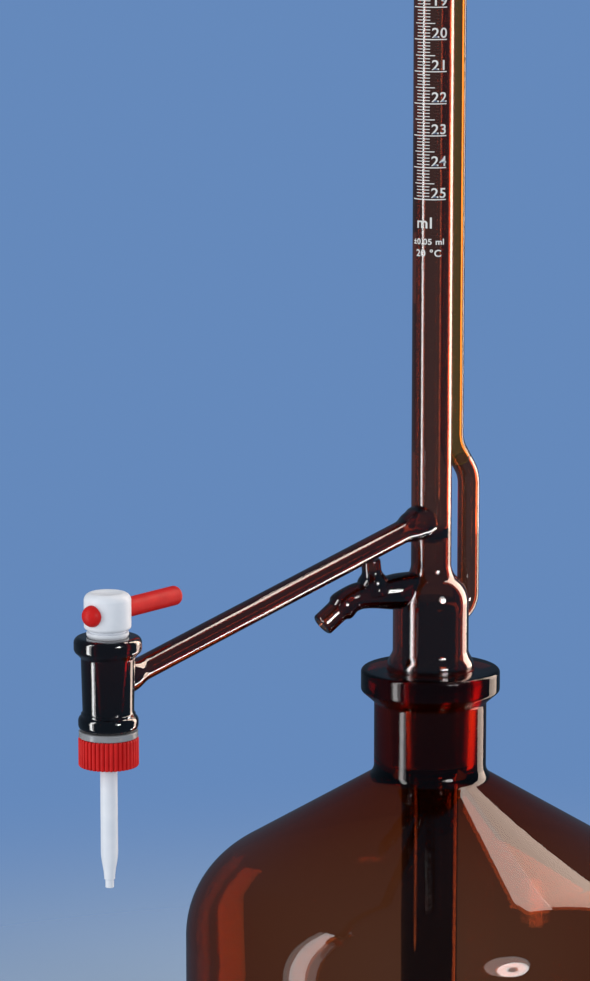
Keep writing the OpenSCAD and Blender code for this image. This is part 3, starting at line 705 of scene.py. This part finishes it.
# %% Sizes of the upright glass
tube_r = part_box("burette_tube")[1].y / MM
bore_r = 5.5
bell_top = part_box("burette_tube")[0].z / MM
bulb_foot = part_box("burette_tube")[1].z / MM
bulb_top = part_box("zero_bulb")[1].z / MM
cone_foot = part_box("ground_cone")[0].z / MM
cone_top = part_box("ground_cone")[1].z / MM
cone_top_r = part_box("ground_cone")[1].x / MM
joint_taper, cone_edge = 20, 0.4
cone_foot_r = cone_top_r - (cone_top - cone_foot) / joint_taper
bell_r, bell_wall, bell_round = 12.8, 1.6, 11.5
bell_foot, bell_run, bell_lean = mouth + 6.5, 1.8, 49
bulb_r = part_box("zero_bulb")[1].y / MM
bulb_wall, bulb_round = 1.3, 6
seal_r, seal_h, seal_edge = 3.72, 2, 0.3
zero_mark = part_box("zero_tip")[0].z / MM
print("tube", round(tube_r * 2, 1), "mm wide, bore", bore_r * 2, "mm")

# %% Upright glass, still solid
def blown(r_low, r_high, rounding, top, depth, lean=60):
    """A blown shoulder, drawn at a depth under its outer face: an arc, then an opposite arc."""
    both = (r_low - r_high) / (1 - math.cos(math.radians(lean)))
    fillet = both - rounding
    middle = top - both * math.sin(math.radians(lean))
    return (arc(r_low - rounding, middle, rounding - depth, 0, lean)
            + arc(r_high + fillet, top, fillet + depth, 180 + lean, 180))


def upside_down(outline, top):
    return [(r, top - z) for r, z in outline[::-1]]


def bell_side(depth):
    foot = flare(cone_top_r - depth, bell_r - depth, cone_top, bell_foot)
    return foot + blown(bell_r, tube_r, bell_round, bell_top + bell_run, depth, bell_lean)


def bulb_side(depth):
    low = upside_down(blown(bulb_r, tube_r, bulb_round, 0, depth), bulb_foot)
    high = blown(bulb_r, seal_r + bulb_wall, bulb_round, bulb_top - seal_h, depth)
    return low + high


upright = lathe("fused_glass", filled(
    [(0, cone_foot), (cone_foot_r - cone_edge, cone_foot), (cone_foot_r, cone_foot + cone_edge)]
    + bell_side(0) + bulb_side(0)
    + [(seal_r + bulb_wall, bulb_top - seal_edge), (seal_r + bulb_wall - seal_edge, bulb_top)]
    + [(0, bulb_top)]))
print("upright glass from", cone_foot, "to", bulb_top, "mm")


# %% [markdown]
# ## Side arm, stopcock barrel, hose end and vents
#
# These are made solid, melted to the upright glass, and bored afterwards. The arm slopes down to
# the stopcock and flares where it is melted on at either end. The barrel is turned with a bead at
# each end. The hose end is bent down and has a bulge that keeps the hose on, and a stub that a
# finger closes while the bottle is pumped up.

# %% Side arm
arm_root, arm_reach, arm_fall = 237, 155, 32
arm_start, arm_end = Vector((0, 0, arm_root)), Vector((-arm_reach, 0, arm_root - arm_fall))
arm_run = (arm_end - arm_start).length
arm_r, root_r, weld_r = 3.9, 6.0, 5.2
arm_radius = eased_keys([(0, root_r), (tube_r, root_r), (tube_r + 3, 5.3), (tube_r + 9, arm_r),
                         (arm_run - 16.5, arm_r), (arm_run - 8.5, weld_r), (arm_run, weld_r)])
arm = sweep("arm", bent_path([arm_start, arm_end], [], 0.6), arm_radius)
print("arm", round(arm_run, 1), "mm long")

# %% Stopcock barrel
barrel_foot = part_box("stopcock_barrel")[0].z / MM
barrel_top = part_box("stopcock_barrel")[1].z / MM
top_bead, low_bead, bead_round, bead_lean = 10.6, 9.4, 1.9, 62
waist_low, waist_top, waist_fillet = 8.03, 8.42, 0.9
low_mid, top_mid = low_bead - bead_round, top_bead - bead_round
barrel_outline = (
    [(0, barrel_foot)] + arc(low_mid, barrel_foot + bead_round, bead_round, -90, 0, 10)
    + arc(low_mid, barrel_foot + 5 - bead_round, bead_round, 0, bead_lean, 10)
    + arc(waist_low + waist_fillet, barrel_foot + 6.2, waist_fillet, 180 + bead_lean, 180, 8)
    + arc(waist_top + waist_fillet, barrel_top - 7.0, waist_fillet, 180, 180 - bead_lean, 8)
    + arc(top_mid, barrel_top - 5.6 + bead_round, bead_round, -bead_lean, 0, 10)
    + arc(top_mid, barrel_top - bead_round, bead_round, 0, 90, 10) + [(0, barrel_top)])
at_stopcock = Matrix.Translation(Vector((-arm_reach, 0, 0)) * MM)
barrel = moved(lathe("barrel", filled(barrel_outline)), at_stopcock)
print("barrel", round(barrel_top - barrel_foot, 1), "mm long")

# %% Hose end and its stub
olive_turn = math.radians(20)
olive_way = Vector((-math.cos(olive_turn), math.sin(olive_turn), 0))
olive_z, olive_reach, olive_bend, olive_rim = mouth + 27.6, 26, 12, 0.9
slope = Vector((0.8 * olive_way.x, 0.8 * olive_way.y, -0.6))
olive_start = Vector((0, 0, olive_z))
olive_corner = olive_way * (olive_reach + olive_bend / 3) + olive_start
olive_tip = olive_corner + slope * (olive_bend / 3 + 10.7)
olive_path = bent_path([olive_start, olive_corner, olive_tip], [olive_bend], 0.5)
bend_end = olive_reach + olive_bend * math.radians(36.87)
olive_radius = eased_keys([(0, 6.2), (11, 6.2), (olive_reach, 4.6), (bend_end - 3, 4.6),
                           (bend_end + 1.4, 5.1), (bend_end + 3.4, 4.0), (bend_end + 11, 4.0)])
olive = sweep("olive", with_ends(olive_path, olive_rim), olive_radius, rim=olive_rim)

stub_lean = math.radians(6)
stub_h, stub_reach, small_rim = 12, 22, 0.7
stub_foot = olive_way * stub_reach + olive_start
stub_way = olive_way * math.sin(stub_lean) + Vector((0, 0, math.cos(stub_lean)))
stub_path = with_ends(bent_path([stub_foot, stub_foot + stub_way * stub_h], [], 0.4), small_rim)
stub_radius = eased_keys([(0, 5.8), (4.4, 5.2), (8, 3.3), (stub_h, 3.25)])
stub = sweep("stub", stub_path, stub_radius, rim=small_rim)
print("hose end at", [round(c, 1) for c in olive_tip], "mm")

# %% Top vent, and melting all of it on
vent_z, vent_bend = bulb_foot + 27, 7
vent_corner = Vector((-(14 + vent_bend / 3), 0, vent_z))
vent_tip = vent_corner + Vector((-0.8, 0, -0.6)) * (vent_bend / 3 + 10)
vent_path = bent_path([Vector((-8, 0, vent_z)), vent_corner, vent_tip], [vent_bend], 0.5)
vent_radius = eased_keys([(0, 3.9), (2.6, 3.9), (5.5, 3.0), (30, 3.0)])
vent = sweep("vent", with_ends(vent_path, small_rim), vent_radius, rim=small_rim)
melted(upright, [arm, barrel, olive, stub, vent], "UNION")
print("melted glass:", len(upright.data.polygons), "faces")


# %% [markdown]
# Now the bores. The bell is hollow and open below. The tube has a round floor just under the arm.
# The barrel's bore is a taper of one in five, ground to fit the key. When the glass is done, the
# strip on the floor is linked to it alone, so that the bottle doesn't mirror the strip.

# %% Hollows of bell, tube and barrel
no_rim = 0.01


def past(point, way, reach):
    return point + way.normalized() * reach


def drill(name, path, radius, sides=40):
    """A plain rod to take out of the glass; radius is a length or follows the path."""
    follow = radius if callable(radius) else lambda s: radius
    return sweep(name, path, follow, sides=sides, rim=no_rim)


overrun, bore_end = 2, arm_root - 2.2
floor_r = bore_r + 1.4
foot_r = tube_r - bell_wall
foot_angle = math.degrees(math.acos(foot_r / floor_r))
bell_hollow = lathe("bell_hollow", filled(
    [(0, cone_foot - overrun), (cone_foot_r - 1.9, cone_foot - overrun)]
    + [(cone_foot_r - 1.8, cone_foot)]
    + bell_side(bell_wall) + arc(0, bore_end, floor_r, -foot_angle, -88, 12)
    + [(0, bore_end - floor_r)]))
tube_hollow = lathe("tube_hollow", filled(
    [(0, bore_end - bore_r)] + arc(0, bore_end, bore_r, -88, 0)
    + [(bore_r, bulb_foot - 2)] + bulb_side(bulb_wall)
    + [(seal_r, bulb_top + overrun), (0, bulb_top + overrun)]))
key_top_r, key_taper = 6.25, 10
key_foot_r = key_top_r - (barrel_top - barrel_foot) / key_taper
taper_foot, taper_top = (key_foot_r - 0.1, barrel_foot - 1), (key_top_r + 0.1, barrel_top + 1)
barrel_taper = [(0, taper_foot[1]), taper_foot, taper_top, (0, taper_top[1])]
barrel_hollow = moved(lathe("barrel_hollow", barrel_taper), at_stopcock)
print("key taper from", key_top_r, "to", round(key_foot_r, 2), "mm in radius")

# %% Bores of the tubes, and boring
arm_bore = eased_keys([(0, 3.6), (tube_r, 3.6), (tube_r + 8, 2.2), (arm_run, 2.2)])
arm_hollow = drill("arm_hollow", bent_path([arm_start, arm_end], []), arm_bore)
olive_mouth = past(olive_tip, slope, overrun)
olive_run = bent_path([olive_start, olive_corner, olive_mouth], [olive_bend], 0.5)
olive_hollow = drill("olive_hollow", olive_run, 2.3)
stub_hollow = drill("stub_hollow", [stub_foot, past(stub_foot, stub_way, stub_h + overrun)], 1.7)
vent_mouth = past(vent_tip, vent_tip - vent_corner, overrun)
vent_run = bent_path([Vector((0, 0, vent_z)), vent_corner, vent_mouth], [vent_bend], 0.5)
vent_hollow = drill("vent_hollow", vent_run, 1.8)
riser_z = mouth + 17
riser_hole = drill("riser_hole", [Vector((8, 0, riser_z)), Vector((16, 0, riser_z))], seal_r, sides=48)
hollows = [bell_hollow, tube_hollow, barrel_hollow, arm_hollow]
hollows += [olive_hollow, stub_hollow, vent_hollow, riser_hole]
melted(upright, hollows, "DIFFERENCE")
grind(upright, lambda r, z: cone_foot + 0.5 < z < mouth and cone_foot_r - 0.1 < r < cone_top_r + 0.1)
finished(upright, "burette", "burette_glass", tube_glass, "ground_cone", "joint_bell",
         "burette_tube", "zero_bulb", "side_arm", "stopcock_barrel", "hose_olive", "vent_stub",
         "top_vent")
strip_lit = bpy.data.collections.new("strip_lit")
strip_lit.objects.link(upright)
low_strip.light_linking.receiver_collection = strip_lit


# %% [markdown]
# ## Riser, overflow bend and zero tip
#
# Liquid goes up the thin riser and over the bend, and the drawn tip inside the tube sucks back
# all that stands above it, which sets the zero. It is one path of straight runs and bends. The path is
# cut in its lower bend, because the leg that is melted to the bell is the dark glass of the tube, and
# the long run above it is a paler one.

# %% Path of the riser
riser_r, riser_bore = 3.7, 2.5
tip_run, tip_r, tip_bore = 14, 1.5, 0.7
near, leg, far = 10.8, 19.5, 15.0
dip_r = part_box("dip_tube")[1].x / MM
low_a, low_b = mouth + 64.07, mouth + 75.67
high_a, high_b = bulb_foot - 8.75, bulb_foot - 3.15
bend_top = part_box("overflow_bend")[1].z / MM - riser_r
riser_corners = [(dip_r, 0, riser_z), (leg, 0, riser_z), (leg, 0, low_a), (near, 0, low_b),
                 (near, 0, high_a), (far, 0, high_b), (far, 0, bend_top), (0, 0, bend_top),
                 (0, 0, zero_mark)]
riser_bends = [6.4, 10, 10, 9.4, 9.4, 7.49, 7.49]
riser_path = bent_path(riser_corners, riser_bends, 0.9)
change = next(i for i, point in enumerate(riser_path) if point.z > (low_a + low_b) / 2)
leg_path, riser_path = riser_path[:change + 1], riser_path[change:]
cut_share = 0.02
riser_path[0] = riser_path[0].lerp(riser_path[1], cut_share)
print("riser path", len(leg_path), "+", len(riser_path), "points")

# %% Riser in two glasses
riser_leg = sweep("riser_leg", leg_path, lambda s: riser_r, lambda s: riser_bore, sides=72, rim=no_rim)
finished(riser_leg, "burette", "burette_glass", tube_glass, "riser_tube")
riser_run = sum((b - a).length for a, b in zip(riser_path, riser_path[1:]))
tip_start, tip_rim = riser_run - tip_run, 0.1
riser_outer = eased_keys([(0, riser_r), (tip_start, riser_r), (riser_run, tip_r)])
riser_inner = eased_keys([(0, riser_bore), (tip_start, riser_bore), (riser_run, tip_bore)])
riser = sweep("riser", with_ends(riser_path, tip_rim), riser_outer, riser_inner, sides=72, rim=tip_rim)
finished(riser, "burette", "burette_glass", riser_glass, "riser_tube", "overflow_bend", "zero_tip")


# %% [markdown]
# ## Dip tube
#
# The wide tube that stands in the bottle takes the liquid up to the riser. Its top, in the bell, is
# rounded and closed but for a pin hole, and its foot is drawn in just above the floor of the bottle.

# %% Dip tube
dip_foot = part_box("dip_tube")[0].z / MM
dip_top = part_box("dip_tube")[1].z / MM
dip_wall, dip_round, dip_end_r, dip_edge, pin_hole = 1.4, 3.5, 4.5, 0.3, 0.6
round_mid = (dip_r - dip_round, dip_top - dip_round)
dip = lathe("dip_tube_glass",
    [(dip_end_r - dip_wall, dip_foot), (dip_end_r - dip_edge, dip_foot)]
    + flare(dip_end_r, dip_r, dip_foot + dip_edge, dip_foot + dip_r)
    + arc(*round_mid, dip_round, 0, 90)
    + [(pin_hole, dip_top), (pin_hole, dip_top - dip_wall)]
    + arc(*round_mid, dip_round - dip_wall, 90, 0)
    + flare(dip_r - dip_wall, dip_end_r - dip_wall, dip_foot + dip_r, dip_foot + dip_edge))
finished(dip, "burette", "burette_glass", dip_glass, "dip_tube")


# %% [markdown]
# ## Key, lever and jet
#
# The white key is turned: a taper in the barrel, a small ring over it, a round head with soft
# edges, and a threaded end for the nut. The red lever is a rod pushed through a hole in the head,
# domed at the near end. The jet is drawn down to a thin stepped tip.

# %% Key
head_r, head_edge, neck_of_head = 7.35, 2.4, 5.75
key_gap, ring_r, ring_edge = 0.04, 6.3, 0.3
ring_z = barrel_top + 0.3
head_foot, head_top = ring_z + 1.9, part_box("stopcock_key")[1].z / MM
thread_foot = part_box("stopcock_key")[0].z / MM
lever_z = head_top - 6.3
lever_turn = math.radians(4.5)
thread_pitch, crest, valley = 1.5, 3.0, 2.62
thread = [(crest if i % 2 else valley, thread_foot + 0.4 + thread_pitch / 2 * i) for i in range(14)]
key = lathe("key",
    [(0, thread_foot), (2.5, thread_foot)] + thread + [(2.9, barrel_foot)]
    + [(key_foot_r - 0.3, barrel_foot), (key_foot_r - key_gap, barrel_foot + 0.4)]
    + [(key_top_r - key_gap, barrel_top), (key_top_r - key_gap, ring_z)]
    + arc(ring_r, ring_z + ring_edge, ring_edge, -90, 0, 5)
    + arc(ring_r, ring_z + 0.9, ring_edge, 0, 90, 5)
    + [(neck_of_head, ring_z + 1.25), (neck_of_head, head_foot)]
    + arc(head_r - head_edge / 2, head_foot + head_edge / 2, head_edge / 2, -90, 0, 10)
    + arc(head_r - head_edge, head_top - head_edge, head_edge, 0, 90, 14)
    + [(head_r - head_edge - 0.4, head_top), (head_r - head_edge - 0.9, head_top - 0.25)]
    + [(0, head_top - 0.3)])
hole_r, hole_half = 3.12, 9
through_head = Matrix.Translation((0, 0, lever_z * MM)) @ Matrix.Rotation(math.pi / 2, 4, "Y")
hole_outline = [(0, -hole_half), (hole_r, -hole_half), (hole_r, hole_half), (0, hole_half)]
lever_hole = moved(lathe("lever_hole", hole_outline, sides=72), through_head)
melted(key, [lever_hole], "DIFFERENCE")
at_key = at_stopcock @ Matrix.Rotation(lever_turn, 4, "Z")
moved(key, at_key)
finished(key, "key", "white_plastic", white_plastic, "stopcock_key")

# %% Lever
lever_r, lever_reach, lever_proud = 3.1, 34, 3.0
dome_r, lever_face = 3.4, 1.6
dome_turns = [math.radians(a) for a in range(0, 91, 6)]
lever = lathe("lever",
    [(dome_r * math.sin(t), -head_r - lever_proud * math.cos(t)) for t in dome_turns]
    + [(lever_r, -head_r)]
    + arc(lever_r - lever_face, lever_reach - lever_face, lever_face, 0, 80, 14)
    + [(0, lever_reach)], sides=96)
moved(lever, at_key @ through_head)
finished(lever, "key", "red_plastic", red_plastic, "handle_lever")

# %% Jet
jet_r, jet_draw = 2.7, thread_foot - 29
jet_neck, jet_tip = jet_draw - 7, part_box("jet_tip")[0].z / MM
jet_bore, point_r, step_r, jet_edge = 0.7, 1.35, 1.7, 0.3
plug_r, plug_top = 2.0, thread_foot + 6
jet = moved(lathe("jet",
    [(jet_bore, jet_tip), (point_r - 0.15, jet_tip), (point_r, jet_tip + 0.15)]
    + [(point_r, jet_neck - 0.1), (point_r + 0.1, jet_neck), (step_r - 0.1, jet_neck)]
    + flare(step_r, jet_r, jet_neck + 0.1, jet_draw + 2, 12)
    + [(jet_r, thread_foot - jet_edge), (jet_r - jet_edge, thread_foot), (plug_r, thread_foot)]
    + [(plug_r, plug_top), (jet_bore, plug_top)],
    sides=96), at_stopcock)
finished(jet, "key", "white_plastic", white_plastic, "jet_tip")


# %% [markdown]
# ## Nut, washer and soft ring
#
# The ribbed nut pulls the key into its taper through a clear washer and a soft ring. The ribs come
# from the lathe itself: between the two plain edges, the radius swells and shrinks with the angle.

# %% Nut
nut_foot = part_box("retaining_nut")[0].z / MM
nut_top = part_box("retaining_nut")[1].z / MM
nut_r, rib_count, rib_depth, rib_share, nut_edge = 9.45, 40, 0.62, 0.86, 0.7
thread_r, ring_seat_r, ring_seat = 3.06, 5.0, nut_top - 2
nut_mid, face_r = nut_r - nut_edge, nut_r - nut_edge - 0.4


def ribbed(radius, height, angle):
    """A rib is a half round; the valley between two ribs is narrow and flat."""
    if radius < nut_r - rib_depth:
        return radius
    across = (angle * rib_count / (2 * math.pi)) % 1 * 2 - 1
    swell = math.sqrt(max(0, 1 - (across / rib_share) ** 2))
    return radius - rib_depth * (1 - swell)


nut = moved(lathe("nut",
    [(thread_r, nut_foot), (face_r, nut_foot)]
    + arc(nut_mid, nut_foot + nut_edge, nut_edge, -70, 0, 6)
    + arc(nut_mid, nut_top - nut_edge, nut_edge, 0, 70, 6)
    + [(face_r, nut_top), (ring_seat_r, nut_top), (ring_seat_r, ring_seat), (thread_r, ring_seat)],
    sides=rib_count * 16, ribs=ribbed), at_stopcock)
finished(nut, "nut", "red_plastic", red_plastic, "retaining_nut")

# %% Washer and soft ring
washer_r, washer_hole, washer_edge, hair = 9.3, 3.1, 0.45, 0.02
washer_top, washer_mid = barrel_foot - hair, washer_r - washer_edge
washer = moved(lathe("washer",
    [(washer_hole, nut_top)] + arc(washer_mid, nut_top + washer_edge, washer_edge, -90, 0, 6)
    + [(washer_r - 0.12, nut_top + 1.1)]
    + arc(washer_mid, washer_top - washer_edge, washer_edge, 0, 90, 6)
    + [(washer_hole, washer_top)]), at_stopcock)
finished(washer, "seals", "clear_plastic", clear_plastic, "sealing_washer")
soft_mid_r, soft_mid_z, soft_thick = 4.0, nut_top - 1.0, 0.9
soft_outline = arc(soft_mid_r, soft_mid_z, soft_thick, 0, 345, 23)
soft_ring = moved(lathe("soft_ring", soft_outline, sides=96), at_stopcock)
finished(soft_ring, "seals", "black_rubber", black_rubber, "o_ring")


# %% [markdown]
# ## The scale
#
# The scale is printed in white enamel on the outside of the tube: a mark for every tenth of a
# millilitre, a longer one at each half, and one that runs under its number at each whole. A flat
# mark is bent round the tube by turning its sideways distance into an angle. Numbers start as
# Blender text, become a mesh, and are bent in the same way.

# %% Marks
ml_length = 1000 / (math.pi * bore_r ** 2)
low_mark = mouth + 159.5
whole_marks = 25
camera_side = math.degrees(math.atan2(-away.y, -away.x))
enamel_under, enamel_over = tube_r - 0.05, tube_r + 0.045
mark_spans = {"tenth": (-54, -13, 0.27), "half": (-62, 1, 0.29), "whole": (-70, 36, 0.34)}


def printed_mark(mesh_tool, height, span):
    """One enamel stroke round the tube."""
    start, end, thick = span
    steps = math.ceil((end - start) / 4)
    section = [(enamel_under, -thick / 2), (enamel_over, -thick / 2)]
    section += [(enamel_over, thick / 2), (enamel_under, thick / 2)]
    rows = []
    for i in range(steps + 1):
        angle = math.radians(camera_side + start + (end - start) * i / steps)
        way = Vector((math.cos(angle), math.sin(angle), 0))
        row = [(way * r + Vector((0, 0, height + h))) * MM for r, h in section]
        rows.append([mesh_tool.verts.new(place) for place in row])
    skin(mesh_tool, rows, joined=False)
    mesh_tool.faces.new(rows[0])
    mesh_tool.faces.new(rows[-1])


mark_mesh = bmesh.new()
for tenth in range(whole_marks * 10 + 1):
    kind = "whole" if tenth % 10 == 0 else "half" if tenth % 5 == 0 else "tenth"
    printed_mark(mark_mesh, low_mark + (whole_marks - tenth / 10) * ml_length, mark_spans[kind])
marks = shaded("scale_marks", mark_mesh)
finished(marks, "burette", "white_plastic", white_enamel)

# %% Numbers and unit
text_width, text_depth, text_weight, text_space, text_proud = 1.12, 0.0001, 0.00006, 1.08, 0.01


def printed_text(text, size, middle, height):
    """Text as enamel bent round the tube; middle is in degrees from the camera's side."""
    curve = bpy.data.curves.new("text", "FONT")
    curve.body, curve.size, curve.align_x = text, size * MM, "CENTER"
    curve.extrude, curve.offset, curve.space_character = text_depth, text_weight, text_space
    flat = bpy.data.objects.new("text", curve)
    bpy.context.scene.collection.objects.link(flat)
    view = bpy.context.evaluated_depsgraph_get()
    mesh = bpy.data.meshes.new_from_object(flat.evaluated_get(view))
    bpy.data.objects.remove(flat)
    for point in mesh.vertices:
        angle = math.radians(camera_side + middle) + text_width * point.co.x / (tube_r * MM)
        reach = (enamel_over + text_proud if point.co.z > 0 else enamel_under) * MM
        lift = height * MM + point.co.y
        point.co = Vector((math.cos(angle) * reach, math.sin(angle) * reach, lift))
    return mesh


number_size, number_middle, number_lift = 4.6, 14, 0.6
numbers = bmesh.new()
for whole in range(whole_marks + 1):
    line = low_mark + (whole_marks - whole) * ml_length
    numbers.from_mesh(printed_text(str(whole), number_size, number_middle, line + number_lift))
numbers.from_mesh(printed_text("ml", 5.2, -28, low_mark - 9.5))
numbers.from_mesh(printed_text("±0.05 ml", 2.7, -18, low_mark - 14.9))
numbers.from_mesh(printed_text("20 °C", 3.2, -16, low_mark - 18.9))
printed = shaded("scale_numbers", numbers)
finished(printed, "burette", "white_plastic", white_enamel)
